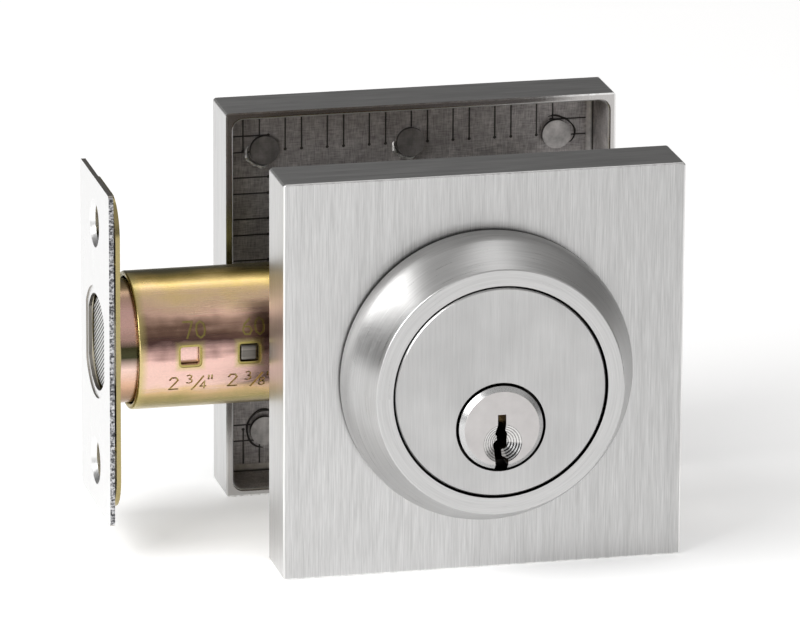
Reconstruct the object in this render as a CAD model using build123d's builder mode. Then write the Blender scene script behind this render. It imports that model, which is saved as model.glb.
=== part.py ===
"""Deadbolt door lock, keyed outside and with a thumbturn inside, with an adjustable tubular latch.

Frame, in millimetres: the origin is on the door's outside face, at the middle of the roses. The
door fills Y from 0 to door_thickness. -Y is the outside, where the key goes in. The bolt is thrown
towards -X, out of the door's edge, and +Z is up. The lock is drawn unlocked, with the bolt in.
"""
from build123d import *
import math
import os

os.makedirs("parts", exist_ok=True)

# ---- the door and the latch's travel -------------------------------------------------------
door_thickness = 35.0
backset = 60.0
backset_travel = 10.0
bolt_throw = 25.4
latch_y = door_thickness / 2
latch_z = 0.6                    # the latch's axis, just above the roses' middle
hub_z = -5.95                    # plug, tailpiece, crank and thumbturn all turn on this line
crank_z = hub_z - latch_z
crank_swing = 45.0               # degrees each side of upright
drive_height = bolt_throw / 2    # drive pin above the hub's axis, so that 90 degrees is one throw

# ---- roses -----------------------------------------------------------------------------------
rose_side = 68.0
rose_depth = 11.0
rose_wall = 1.3
rose_face = 2.2
rose_corner = 0.6
rose_edge = 0.3
pocket_corner = 1.8
pocket_rim = 0.5                 # rounding where the pocket meets the rim
pocket_fillet = 1.8
pocket_draft = 4.0
pocket_depth = rose_depth - rose_face
groove_pairs = 8                 # the scribed grooves round the inside rose's floor
groove_pair_pitch = 7.35
groove_pair_gap = 2.85
groove_width = 0.28
groove_depth = 0.15
groove_reach = 6.2
groove_first_x = -29.2
groove_first_z = -24.0
grid_half = 31.0
ejector_x = 25.6
ejector_z = 25.0
ejector_radius = 2.5
ejector_height = 1.0

# ---- keyed side ------------------------------------------------------------------------------
housing_front = -22.8            # Y of the cylinder's face
housing_rear = -0.1
face_radius = 17.8
neck_radius = 15.4
shoulder_radius = 19.5
shoulder_front = -13.9
face_thickness = 3.2
core_front = -20.2
core_rear = 3.2
core_radius = 8.0
bible_half = 4.5
bible_top = 13.6
pocket_gap = 0.1
plug_front = -23.7
plug_head_radius = 7.1
plug_face_radius = 6.3
plug_bevel = 0.75
plug_hole_radius = 7.6
plug_radius = 6.33
plug_bore = 6.4
stub_radius = 4.4
pin_radius = 1.38
chamber_radius = 1.45
pin_first_y = -16.6
pin_pitch = 3.7
pin_tips = (-1.3, 1.15, -0.25, 1.45, 0.25)     # height of each key pin's tip from the plug's axis
pin_ys = [pin_first_y + pin_pitch * k for k in range(len(pin_tips))]
shear_z = hub_z + plug_radius
key_pin_top = shear_z - 0.23
driver_bottom = shear_z + 0.2
driver_top = 5.0
cap_bottom = 12.0
cap_top = 12.9
cap_length = 18.4
screw_x = 19.0                   # the two through-bolts, level with the roses' middle
screw_radius = 2.0
plate_screw_x = 10.2
plate_screw_z = 8.0
plate_screw_radius = 1.25
post_plate_rear = 2.4
post_plate_length = 46.0
post_plate_height = 9.0
post_plate_corner = 4.4
post_radius = 3.4                # the two threaded posts that the through-bolts screw into
post_end = 5.2

# ---- tubular latch -----------------------------------------------------------------------------
plate_width = 25.4
plate_height = 57.15
plate_thickness = 0.8
plate_gap = 0.55                 # between the faceplate and the backplate
plate_screw_spacing = 41.3
back_thickness = 0.75
back_front = -backset + plate_thickness + plate_gap
back_width = 22.9
back_height = 54.0
back_corner = 6.35
tube_radius = 11.65
tube_bore = 10.7
tube_front = -54.8
tube_rear = -21.6
sleeve_radius = 10.4
sleeve_bore = 9.55
sleeve_rear = -33.0
bolt_radius = 8.0
bolt_half = 6.8
bolt_front = -backset + 1.0
bolt_rear = -25.0
window_width = 3.2
window_height = 3.1
window_coin = 0.3
window_60 = -36.1
window_70 = window_60 - backset_travel
leaf_rivet_x = -52.0
leaf_rivet_radius = 0.9
case_half = 5.5
case_wall = 1.1
case_top = 11.6
case_rear = 16.6
case_bore_half = case_half - case_wall
case_rivet_xs = (-14.0, 13.0)
case_rivet_z = -8.6
rivet_radius = 1.22
hub_radius = 4.0
journal_radius = 3.9
journal_hole = 3.98
arm_half = 4.8
arm_reach = 18.6
arm_thickness = 3.5
arm_slot = 5.3
drive_pin_radius = 1.5
slide_bottom = 2.8
slide_top = 8.6
slide_outer = 3.5
slide_inner = 2.3
slide_front = -12.5
slide_rear = 14.7
tail_bottom = 3.4
tail_top = 7.4
tail_half = 1.0
tail_in_bolt = 9.0
tail_middle = (tail_bottom + tail_top) / 2
tail_rear = 2.0
pawl_x = -10.0
pawl_notch_width = 2.0
pawl_notch_height = 2.4
pawl_stud_x = -4.0
pawl_stud_radius = 0.6
blade_height = 5.6
blade_width = 2.2
slot_height = 5.8
slot_width = 2.4

# ---- inside -------------------------------------------------------------------------------------
inside_face = door_thickness + rose_depth
inside_floor = inside_face - rose_face
mount_plate_thickness = 1.6
mount_plate_x = 52.0
mount_plate_z = 44.0
set_screw_y = door_thickness + 4.5
set_screw_radius = 1.5
set_screw_foot = -33.5
turn_shaft = 5.0
turn_base = 15.0
turn_back = inside_face + 0.4
turn_front = 66.0
paddle_width = 8.0
paddle_length = 36.0


def across(y):
    """A plane facing out of the door (-Y) at depth y: sketch x is X and sketch y is Z."""
    return Plane.XZ.offset(-y)


def inward(y):
    """A plane facing the room (+Y) at depth y: sketch x is X and sketch y is -Z."""
    return Plane(origin=(0, y, 0), x_dir=(1, 0, 0), z_dir=(0, 1, 0))


def latch_across(y):
    """A plane facing -Y at depth y: sketch x is X and sketch y is the height from the latch's axis."""
    return Plane(origin=(0, y, latch_z), x_dir=(1, 0, 0), z_dir=(0, -1, 0))


def latch_along(x):
    """A plane facing +X: sketch x is Y and sketch y is the height from the latch's axis."""
    return Plane(origin=(x, 0, latch_z), x_dir=(0, 1, 0), z_dir=(1, 0, 0))


def disc(plane, radius, height, centre=(0, 0), mode=Mode.ADD):
    """A round boss or hole of that radius, standing on a plane."""
    with BuildSketch(plane) as outline:
        with Locations(centre):
            Circle(radius)
    extrude(outline.sketch, amount=height, mode=mode)


def bar(plane, width, height, length, centre=(0, 0), corner=0.0, mode=Mode.ADD):
    """A block, or a pocket, with that section on a plane."""
    with BuildSketch(plane) as outline:
        with Locations(centre):
            if corner > 0:
                RectangleRounded(width, height, corner)
            else:
                Rectangle(width, height)
    extrude(outline.sketch, amount=length, mode=mode)


def turned(points, axis_z=0.0, mode=Mode.ADD):
    """A profile of (radius, Y) points, turned about a line along Y at height axis_z."""
    with BuildSketch(Plane.XY.offset(axis_z)) as profile:
        with BuildLine():
            Polyline(*points, close=True)
        make_face()
    revolve(profile.sketch, axis=Axis((0, 0, axis_z), (0, 1, 0)), mode=mode)


def turned_on_latch(points, mode=Mode.ADD):
    """A profile of (X, radius) points, turned about the latch's own axis."""
    with BuildSketch(latch_across(latch_y)) as profile:
        with BuildLine():
            Polyline(*points, close=True)
        make_face()
    revolve(profile.sketch, axis=Axis((0, latch_y, latch_z), (1, 0, 0)), mode=mode)


def rose_block(plane):
    """The square block that a rose is made from, standing on its rim's plane."""
    bar(plane, rose_side, rose_side, rose_depth, corner=rose_corner)


def rose_pocket(plane):
    """The drafted pocket, cut from the rose's rim."""
    opening = rose_side - 2 * rose_wall
    with BuildSketch(plane) as outline:
        RectangleRounded(opening, opening, pocket_corner)
    extrude(outline.sketch, amount=pocket_depth, taper=pocket_draft, mode=Mode.SUBTRACT)


def round_pocket(rose, floor_y, rim_y):
    """Round the pocket's floor, and its edge at the rim."""
    floor = rose.faces().filter_by(Axis.Y).filter_by_position(Axis.Y, floor_y - 0.01, floor_y + 0.01)[0]
    fillet(floor.edges(), pocket_fillet)
    reach = rose_side / 2 - rose_wall / 2
    rim = rose.edges().filter_by_position(Axis.Y, rim_y - 0.01, rim_y + 0.01)
    inner = rim.filter_by_position(Axis.X, -reach, reach).filter_by_position(Axis.Z, -reach, reach)
    fillet(inner, pocket_rim)


# ==== outside: rose, ring and cylinder ==========================================================
with BuildPart() as exterior_rose:
    rose_block(across(0))
    front = exterior_rose.faces().sort_by(Axis.Y)[0]
    fillet(front.edges(), rose_edge)
    rose_pocket(across(0))
    round_pocket(exterior_rose, -pocket_depth, 0)
    disc(across(0), neck_radius + 0.3, rose_depth, mode=Mode.SUBTRACT)
exterior_rose.part.label = "exterior_rose"

ring_rear = -rose_depth - 0.3
ring_base = 24.6
ring_wall = 2.0
ring_wall_front = ring_rear - 1.7        # the ring's side is straight to here, then bends to a cone
ring_bend = 7.4
ring_cone = 24.0                         # degrees
ring_lip = 0.25
ring_bore = face_radius + 0.36
ring_web_bore = neck_radius + 0.4
ring_web_front = -19.2
ring_web_rear = -16.6
ring_web_radius = 20.2
bend_turns = (math.radians(ring_cone / 2), math.radians(ring_cone))
bend_middle, bend_end = [(ring_base - ring_bend * (1 - math.cos(turn)),
                          ring_wall_front - ring_bend * math.sin(turn)) for turn in bend_turns]
cone_run = bend_end[1] - housing_front
ring_top = bend_end[0] - cone_run * math.tan(math.radians(ring_cone))
with BuildPart() as guard_ring:
    with BuildSketch(Plane.XY) as ring_profile:
        with BuildLine():
            Polyline((ring_base - ring_wall, ring_rear), (ring_base, ring_rear), (ring_base, ring_wall_front))
            ThreePointArc((ring_base, ring_wall_front), bend_middle, bend_end)
            Polyline(bend_end, (ring_top, housing_front), (ring_bore, housing_front),
                     (ring_bore, ring_web_front), (ring_web_bore, ring_web_front),
                     (ring_web_bore, ring_web_rear), (ring_web_radius, ring_web_rear),
                     (ring_base - ring_wall, ring_rear))
        make_face()
        fillet(ring_profile.vertices().group_by(Axis.Y)[0].sort_by(Axis.X)[-1], ring_lip)
    revolve(ring_profile.sketch, axis=Axis.Y)
guard_ring.part.label = "guard_ring"

with BuildPart() as ring_spring_washer:
    turned([(15.8, -16.3), (16.4, -16.3), (19.0, shoulder_front - 0.4), (19.0, shoulder_front),
            (18.4, shoulder_front), (15.8, -15.7)])
ring_spring_washer.part.label = "ring_spring_washer"

with BuildPart() as cylinder_housing:
    turned([(0, housing_front), (face_radius - 0.25, housing_front), (face_radius, housing_front + 0.25),
            (face_radius, housing_front + face_thickness), (neck_radius, housing_front + face_thickness),
            (neck_radius, shoulder_front), (shoulder_radius, shoulder_front),
            (shoulder_radius, -rose_depth), (neck_radius, -rose_depth), (neck_radius, housing_rear),
            (0, housing_rear)])
    core_length = housing_rear - core_front
    rear = across(housing_rear)
    disc(across(core_front), plug_hole_radius, 5, (0, hub_z), Mode.SUBTRACT)
    disc(rear, core_radius + pocket_gap, core_length, (0, hub_z), Mode.SUBTRACT)
    bible_height = bible_top + pocket_gap - hub_z
    bar(rear, 2 * (bible_half + pocket_gap), bible_height, core_length, (0, hub_z + bible_height / 2),
        mode=Mode.SUBTRACT)
    for side in (-1, 1):
        disc(rear, plate_screw_radius + 0.05, 7, (side * plate_screw_x, plate_screw_z), Mode.SUBTRACT)
cylinder_housing.part.label = "cylinder_housing"

with BuildPart() as cylinder_core:
    disc(rear, core_radius, core_length, (0, hub_z))
    bar(rear, 2 * bible_half, bible_top - hub_z, core_length, (0, (bible_top + hub_z) / 2))
    disc(across(core_rear), core_radius - 0.4, core_rear - housing_rear, (0, hub_z))
    disc(across(core_rear), plug_bore, 40, (0, hub_z), Mode.SUBTRACT)
    for y in pin_ys:
        disc(Plane.XY, chamber_radius, 20, (0, y), Mode.SUBTRACT)
    slot_middle = (cap_bottom + cap_top + 0.05) / 2
    bar(rear, 4.1, cap_top + 0.05 - cap_bottom, cap_length + 0.1, (0, slot_middle), mode=Mode.SUBTRACT)
cylinder_core.part.label = "cylinder_core"

with BuildPart() as pin_chamber_cap:
    bar(rear, 4.0, cap_top - cap_bottom, cap_length, (0, (cap_bottom + cap_top) / 2))
pin_chamber_cap.part.label = "pin_chamber_cap"

with BuildPart() as driver_pins:
    for y in pin_ys:
        disc(Plane.XY.offset(driver_bottom), pin_radius, driver_top - driver_bottom, (0, y))
    ends = driver_pins.edges().filter_by(GeomType.CIRCLE)
    chamfer(ends, 0.2)
driver_pins.part.label = "driver_pins"

spring_wire = 0.17
spring_height = cap_bottom - driver_top - 2 * spring_wire - 0.04
with BuildPart() as pin_springs:
    for y in pin_ys:
        coil_foot = driver_top + spring_wire + 0.02
        with BuildLine(Plane.XY.offset(coil_foot)) as coil:
            Helix(pitch=1.0, height=spring_height, radius=1.1, center=(0, y, 0))
        with BuildSketch(Plane(origin=coil.line @ 0, z_dir=coil.line % 0)) as wire:
            Circle(spring_wire)
        sweep(wire.sketch, path=coil.line)
pin_springs.part.label = "pin_springs"

post_plate_thickness = post_plate_rear - housing_rear
with BuildPart() as post_plate:
    disc(across(post_plate_rear), neck_radius - 0.1, post_plate_thickness)
    bar(across(post_plate_rear), post_plate_length, post_plate_height, post_plate_thickness,
        corner=post_plate_corner)
    for side in (-1, 1):
        disc(across(post_end), post_radius, post_end - 1.0, (side * screw_x, 0))
    disc(across(post_plate_rear), core_radius - 0.2, 4, (0, hub_z), Mode.SUBTRACT)
    for side in (-1, 1):
        disc(across(post_end), screw_radius + 0.05, 8, (side * screw_x, 0), Mode.SUBTRACT)
        disc(across(post_plate_rear), plate_screw_radius + 0.25, 4, (side * plate_screw_x, plate_screw_z),
             Mode.SUBTRACT)
post_plate.part.label = "post_plate"

plate_screw_head = post_plate_rear + 1.6
with BuildPart() as plate_screws:
    for side in (-1, 1):
        centre = (side * plate_screw_x, plate_screw_z)
        disc(across(post_plate_rear), plate_screw_radius, 8.3, centre)
        disc(across(plate_screw_head), 2.4, 1.6, centre)
        for width, height in ((3.0, 0.6), (0.6, 3.0)):
            bar(across(plate_screw_head), width, height, 0.8, centre, mode=Mode.SUBTRACT)
plate_screws.part.label = "plate_screws"

# The keyway's outline, as (X, Z) from the plug's axis, from its top down to its open foot.
keyway = [(-0.72, 2.4), (0.68, 2.4), (0.68, -0.5), (1.05, -1.1), (1.05, -3.4), (0.1, -3.9),
          (0.1, -4.8), (1.1, -5.3), (1.1, -8.0), (-1.0, -8.0), (-1.15, -4.4), (-1.3, -2.8),
          (-0.65, -2.2), (-0.65, -1.6), (-1.05, -1.1), (-0.72, 0.6)]
dog_radius = 4.2
dog_bore = 1.5
clip_groove_radius = 3.8
clip_groove_front = core_rear + 0.1
clip_groove_rear = core_rear + 0.9
stub_rear = 5.0
keyway_length = 26.0
dimple_x = 0.15                  # the turned dimple that leads the key in
dimple_z = hub_z - 2.6
dimple_radius = 3.3
dimple_depth = 1.1
with BuildPart() as key_plug:
    turned([(0, plug_front), (plug_face_radius, plug_front), (plug_head_radius, plug_front + plug_bevel),
            (plug_head_radius, core_front - 0.1), (plug_radius, core_front - 0.1),
            (plug_radius, core_rear - 0.1), (stub_radius, core_rear - 0.1),
            (stub_radius, clip_groove_front), (clip_groove_radius, clip_groove_front),
            (clip_groove_radius, clip_groove_rear), (stub_radius, clip_groove_rear),
            (stub_radius, stub_rear), (0, stub_rear)], hub_z)
    with BuildSketch(across(7.0)) as dog:
        with Locations((0, hub_z)):
            Circle(dog_radius)
            Circle(dog_bore, mode=Mode.SUBTRACT)
            with Locations((0, dog_radius / 2)):
                Rectangle(4.0, dog_radius, mode=Mode.INTERSECT)
    extrude(dog.sketch, amount=2.0)
    with BuildSketch(across(plug_front + keyway_length)) as keyway_outline:
        with BuildLine():
            Polyline(*[(x, hub_z + z) for x, z in keyway], close=True)
        make_face()
    extrude(keyway_outline.sketch, amount=keyway_length + 0.5, mode=Mode.SUBTRACT)
    for y in pin_ys:
        disc(Plane.XY.offset(hub_z - 2.2), chamber_radius, 12, (0, y), Mode.SUBTRACT)
    with Locations(Location((dimple_x, plug_front + dimple_depth / 2, dimple_z), (90, 0, 0))):
        Cone(bottom_radius=dimple_radius / 3, top_radius=dimple_radius, height=dimple_depth,
             mode=Mode.SUBTRACT)
key_plug.part.label = "key_plug"

pin_point = 0.8
with BuildPart() as key_pins:
    for y, tip in zip(pin_ys, pin_tips):
        shank_bottom = hub_z + tip + pin_point
        disc(Plane.XY.offset(shank_bottom), pin_radius, key_pin_top - shank_bottom, (0, y))
        with Locations((0, y, shank_bottom - pin_point / 2)):
            Cone(bottom_radius=0.5, top_radius=pin_radius, height=pin_point)
key_pins.part.label = "key_pins"

plug_clip_rear = core_rear + 0.82
with BuildPart() as plug_clip:
    disc(across(plug_clip_rear), 6.8, 0.67, (0, hub_z))
    disc(across(plug_clip_rear), 3.85, 0.67, (0, hub_z), Mode.SUBTRACT)
    bar(across(plug_clip_rear), 5.6, 8.0, 0.67, (0, hub_z - 4.0), mode=Mode.SUBTRACT)
plug_clip.part.label = "plug_clip"

tail_disc = 7.3
with BuildPart() as tailpiece:
    disc(across(tail_disc + 1.5), 6.0, 1.5, (0, hub_z))
    with BuildSketch(across(tail_disc)) as follower_dog:
        with Locations((0, hub_z)):
            Circle(dog_radius)
            Circle(dog_bore, mode=Mode.SUBTRACT)
            with Locations((-3.3, 0.8)):
                Rectangle(1.9, 4.6, mode=Mode.INTERSECT)
    extrude(follower_dog.sketch, amount=2.0)
    bar(across(inside_face - 1.0), blade_width, blade_height, inside_face - 1.0 - tail_disc - 1.0,
        (0, hub_z))
tailpiece.part.label = "tailpiece"

# ==== tubular latch: the fixed tube and case ====================================================


# Size marks: each figure is drawn with straight strokes, in a cell one unit high.
figures_drawn = {
    "0": [(0.3, 0.98), (0.1, 0.82), (0.04, 0.5), (0.1, 0.18), (0.3, 0.02), (0.5, 0.18), (0.56, 0.5),
          (0.5, 0.82), (0.3, 0.98)],
    "2": [(0.04, 0.78), (0.16, 0.95), (0.44, 0.95), (0.56, 0.75), (0.04, 0.02), (0.6, 0.02)],
    "3": [(0.06, 0.9), (0.28, 0.98), (0.5, 0.84), (0.46, 0.64), (0.26, 0.54), (0.54, 0.4),
          (0.54, 0.16), (0.3, 0.02), (0.04, 0.12)],
    "4": [(0.44, 0.02), (0.44, 0.98), (0.04, 0.32), (0.6, 0.32)],
    "6": [(0.5, 0.98), (0.16, 0.66), (0.04, 0.3), (0.16, 0.08), (0.42, 0.06), (0.56, 0.28),
          (0.44, 0.5), (0.14, 0.5)],
    "7": [(0.03, 0.98), (0.57, 0.98), (0.22, 0.02)],
    "8": [(0.3, 0.56), (0.1, 0.68), (0.12, 0.88), (0.3, 0.98), (0.48, 0.88), (0.5, 0.68), (0.3, 0.56),
          (0.06, 0.4), (0.06, 0.14), (0.3, 0.02), (0.54, 0.14), (0.54, 0.4), (0.3, 0.56)],
    "/": [(0, 0), (0.62, 1.0)],
    "'": [(0, 0.7), (0, 1.0)],
}


def engrave(x, angle, figures):
    """Cut (figure, dx, dy, height) strokes into the tube, at X and at an angle round it."""
    rise = math.radians(angle)
    floor_radius = tube_radius - 0.24
    outward = (0, -math.cos(rise), math.sin(rise))
    origin = (x, latch_y + floor_radius * outward[1], latch_z + floor_radius * outward[2])
    face = Plane(origin=origin, x_dir=(1, 0, 0), z_dir=outward)
    for figure, dx, dy, height in figures:
        corners = [(dx + u * height, dy + v * height) for u, v in figures_drawn[figure]]
        stroke = 0.12 * height if height > 2 else 0.26
        with BuildSketch(face) as strokes:
            for start, end in zip(corners, corners[1:]):
                run = Vector(*end) - Vector(*start)
                with Locations(Location((Vector(*start) + Vector(*end)) * 0.5,
                                        math.degrees(math.atan2(run.Y, run.X)))):
                    Rectangle(run.length + 0.5 * stroke, stroke)
        extrude(strokes.sketch, amount=1.0, mode=Mode.SUBTRACT)


with BuildPart() as outer_tube:
    turned_on_latch([(tube_front, tube_bore), (tube_front, tube_radius), (tube_rear, tube_radius),
                     (tube_rear, tube_bore)])
    lip = outer_tube.edges().filter_by(GeomType.CIRCLE).group_by(Axis.X)[0]
    fillet(lip, 0.4)
    for x in (window_60, window_70):
        bar(latch_across(latch_y), window_width, window_height, 20, (x, 0), 0.4, Mode.SUBTRACT)
        bar(latch_across(latch_y - tube_radius + window_coin), window_width + 0.8, window_height + 0.8, 3,
            (x, 0), 0.8, Mode.SUBTRACT)
    upper = math.degrees(math.asin(4.3 / tube_radius))
    lower = math.degrees(math.asin(-4.9 / tube_radius))
    engrave(window_70, upper, [("7", -1.1, -1.4, 2.9), ("0", 1.0, -1.4, 2.9)])
    engrave(window_60, upper, [("6", -1.1, -1.4, 2.9), ("0", 1.0, -1.4, 2.9)])
    for x, foot in ((window_70, "4"), (window_60, "8")):
        engrave(x, lower, [("2", -3.5, -1.3, 2.7), ("3", -0.6, -0.1, 1.8), ("/", 0.5, -1.6, 2.9),
                           (foot, 1.8, -1.5, 1.8), ("'", 3.2, -1.3, 2.7), ("'", 3.75, -1.3, 2.7)])
outer_tube.part.label = "outer_tube"

with BuildPart() as latch_case:
    bar(latch_along(tube_rear), 2 * case_half, 2 * case_top, case_rear - tube_rear, (latch_y, 0), 1.2)
    disc(latch_along(tube_rear - 2.8), tube_bore - 0.05, 2.8, (latch_y, 0))
    bar(latch_along(tube_rear - 2.8), 2 * case_bore_half, 18.0, 6, (latch_y, 0), mode=Mode.SUBTRACT)
    bar(latch_along(tube_rear + 1.0), 2 * case_bore_half, 2 * (case_top - 1.0), case_rear - tube_rear - 2.0,
        (latch_y, 0), mode=Mode.SUBTRACT)
    bar(Plane.XY, 20.4, 4.4, 20, (0, latch_y), mode=Mode.SUBTRACT)
    disc(latch_across(latch_y + 10), journal_hole, 20, (0, crank_z), Mode.SUBTRACT)
    disc(latch_across(latch_y + 10), screw_radius + 0.4, 20, (-screw_x, -latch_z), Mode.SUBTRACT)
    for x in case_rivet_xs:
        disc(latch_across(latch_y + 10), rivet_radius + 0.03, 20, (x, case_rivet_z), Mode.SUBTRACT)
latch_case.part.label = "latch_case"

with BuildPart() as case_rivets:
    for x in case_rivet_xs:
        centre = (x, case_rivet_z)
        disc(latch_across(latch_y + case_half + 0.5), rivet_radius, 2 * case_half + 1.0, centre)
        for foot in (latch_y + case_half + 0.6, latch_y - case_half):
            disc(latch_across(foot), 2.0, 0.6, centre)
case_rivets.part.label = "case_rivets"

# ==== tubular latch: crank, slide and bolt ======================================================
with BuildPart() as hub_crank:
    disc(latch_across(latch_y + case_bore_half - 0.15), hub_radius, 2 * case_bore_half - 0.3, (0, crank_z))
    disc(latch_across(latch_y + case_half), journal_radius, 2 * case_half, (0, crank_z))
    with BuildSketch(latch_across(latch_y + arm_thickness / 2)) as arm:
        with Locations((0, crank_z)):
            Polygon((-arm_half, 0), (-arm_half, arm_reach - 2.2), (-2.7, arm_reach), (2.7, arm_reach),
                    (arm_half, arm_reach - 2.2), (arm_half, 0), rotation=-crank_swing, align=None)
        lean = math.radians(crank_swing)
        slot_foot = drive_height - 2.3
        with Locations((slot_foot * math.sin(lean), crank_z + slot_foot * math.cos(lean))):
            Rectangle(arm_slot, 12, rotation=-crank_swing, align=(Align.CENTER, Align.MIN),
                      mode=Mode.SUBTRACT)
    extrude(arm.sketch, amount=arm_thickness)
    bar(latch_across(latch_y + 10), slot_width, slot_height, 20, (0, crank_z), mode=Mode.SUBTRACT)
hub_crank.part.label = "hub_crank"

slide_middle = (slide_bottom + slide_top) / 2
drive_pin_place = (drive_height, crank_z + drive_height)
with BuildPart() as drive_slide:
    for side in (-1, 1):
        wall_middle = latch_y + side * (slide_outer + slide_inner) / 2
        bar(latch_along(slide_front), slide_outer - slide_inner, slide_top - slide_bottom,
            slide_rear - slide_front, (wall_middle, slide_middle))
    bar(latch_along(slide_front), 2 * slide_outer, 0.8, 6.5, (latch_y, slide_top - 0.4))
    disc(latch_across(latch_y + 8), drive_pin_radius + 0.02, 16, drive_pin_place, Mode.SUBTRACT)
    bar(latch_across(latch_y), pawl_notch_width, pawl_notch_height, 8, (pawl_x, tail_middle),
        mode=Mode.SUBTRACT)
    disc(latch_across(latch_y), pawl_stud_radius + 0.02, 8, (pawl_stud_x, tail_middle), Mode.SUBTRACT)
drive_slide.part.label = "drive_slide"

with BuildPart() as drive_pin:
    disc(latch_across(latch_y + 4.0), drive_pin_radius, 8.0, drive_pin_place)
drive_pin.part.label = "drive_pin"

with BuildPart() as slide_pawl:
    bar(latch_along(pawl_x - 1.6), 0.4, 2.0, 9.4, (latch_y - slide_outer - 0.22, tail_middle))
    bar(latch_across(latch_y), pawl_notch_width - 0.4, 1.9, slide_outer + 0.3, (pawl_x, tail_middle))
    disc(latch_across(latch_y - slide_inner), pawl_stud_radius, 1.6, (pawl_stud_x, tail_middle))
slide_pawl.part.label = "slide_pawl"

tail_front = bolt_rear - tail_in_bolt
tail_rivet_x = tail_front + 4.0
with BuildPart() as bolt_tail:
    bar(latch_along(tail_front), 2 * tail_half, tail_top - tail_bottom, tail_rear - tail_front,
        (latch_y, tail_middle))
    for x in (pawl_x, pawl_x + backset_travel):
        bar(latch_across(latch_y + 5), pawl_notch_width, pawl_notch_height, 10, (x, tail_middle),
            mode=Mode.SUBTRACT)
    disc(latch_across(latch_y + 5), rivet_radius + 0.03, 10, (tail_rivet_x, tail_middle), Mode.SUBTRACT)
bolt_tail.part.label = "bolt_tail"

rivet_half = 4.4
with BuildPart() as bolt_tail_rivet:
    disc(latch_across(latch_y + rivet_half), rivet_radius, 2 * rivet_half, (tail_rivet_x, tail_middle))
bolt_tail_rivet.part.label = "bolt_tail_rivet"

groove_pitch = 0.66
groove_angle = 147.0
groove_count = 25
armour_front = -51.5
armour_radius = 3.0
armour_z = -3.2
with BuildPart() as bolt:
    with BuildSketch(latch_along(bolt_front)) as bolt_section:
        with Locations((latch_y, 0)):
            Circle(bolt_radius)
            Rectangle(2 * bolt_half, 2 * bolt_radius, mode=Mode.INTERSECT)
    extrude(bolt_section.sketch, amount=bolt_rear - bolt_front)
    chamfer(bolt.faces().sort_by(Axis.X)[0].edges(), 0.5)
    with BuildSketch(latch_along(bolt_front)) as grooves:
        lean = math.radians(groove_angle + 90)
        for k in range(groove_count):
            step = (k - (groove_count - 1) / 2) * groove_pitch
            with Locations((latch_y + step * math.cos(lean), step * math.sin(lean))):
                Rectangle(24, 0.3, rotation=groove_angle)
    extrude(grooves.sketch, amount=0.22, mode=Mode.SUBTRACT)
    disc(latch_along(armour_front - 0.5), armour_radius + 0.1, 27.5, (latch_y, armour_z), Mode.SUBTRACT)
    bar(latch_along(tail_front), 2 * tail_half + 0.04, tail_top - tail_bottom + 0.04, 9.5,
        (latch_y, tail_middle), mode=Mode.SUBTRACT)
    disc(latch_across(latch_y + 10), rivet_radius + 0.03, 20, (tail_rivet_x, tail_middle), Mode.SUBTRACT)
bolt.part.label = "bolt"

with BuildPart() as bolt_armour_pin:
    disc(latch_along(armour_front), armour_radius, 25.5, (latch_y, armour_z))
    chamfer(bolt_armour_pin.edges().filter_by(GeomType.CIRCLE), 0.4)
bolt_armour_pin.part.label = "bolt_armour_pin"

# ==== tubular latch: the front end that sets the backset ========================================
dish_radius = 9.5
dish_half = 8.0
dish_depth = 0.26
bolt_clearance = 0.2
plate_hole_front = 4.1
plate_hole_rear = 3.3
with BuildPart() as faceplate:
    bar(latch_along(-backset), plate_width, plate_height, plate_thickness, (latch_y, 0), 1.0)
    dish = (dish_radius, dish_half, dish_depth)
    way_through = (bolt_radius + bolt_clearance, bolt_half + bolt_clearance, 2.0)
    for radius, half, depth in (dish, way_through):
        with BuildSketch(latch_along(-backset)) as opening:
            with Locations((latch_y, 0)):
                Circle(radius)
                Rectangle(2 * half, 2 * radius, mode=Mode.INTERSECT)
        extrude(opening.sketch, amount=depth, mode=Mode.SUBTRACT)
    for side in (-1, 1):
        middle = (-backset + plate_thickness / 2, latch_y, latch_z + side * plate_screw_spacing / 2)
        with Locations(Location(middle, (0, 90, 0))):
            Cone(bottom_radius=plate_hole_front, top_radius=plate_hole_rear, height=plate_thickness,
                 mode=Mode.SUBTRACT)
faceplate.part.label = "faceplate"

screw_hole = 2.6
with BuildPart() as backplate:
    bar(latch_along(back_front), back_width, back_height, back_thickness, (latch_y, 0), back_corner)
    with BuildSketch(latch_along(-backset + plate_thickness)) as pads:
        with Locations((latch_y, 0)):
            with GridLocations(16.0, 32.0, 2, 2):
                Circle(1.0)
    extrude(pads.sketch, amount=back_front + backset - plate_thickness)
    disc(latch_along(back_front - 2), sleeve_radius + 0.02, 5, (latch_y, 0), Mode.SUBTRACT)
    for z in (-plate_screw_spacing / 2, plate_screw_spacing / 2):
        disc(latch_along(back_front - 2), screw_hole, 5, (latch_y, z), Mode.SUBTRACT)
backplate.part.label = "backplate"

with BuildPart() as front_sleeve:
    turned_on_latch([(back_front, sleeve_bore), (back_front, sleeve_radius),
                     (sleeve_rear, sleeve_radius), (sleeve_rear, sleeve_bore)])
    bar(latch_across(latch_y), 3.6, 3.4, 20, (window_60, 0), mode=Mode.SUBTRACT)
    disc(latch_across(latch_y), leaf_rivet_radius + 0.02, 20, (leaf_rivet_x, 0), Mode.SUBTRACT)
front_sleeve.part.label = "front_sleeve"

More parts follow.
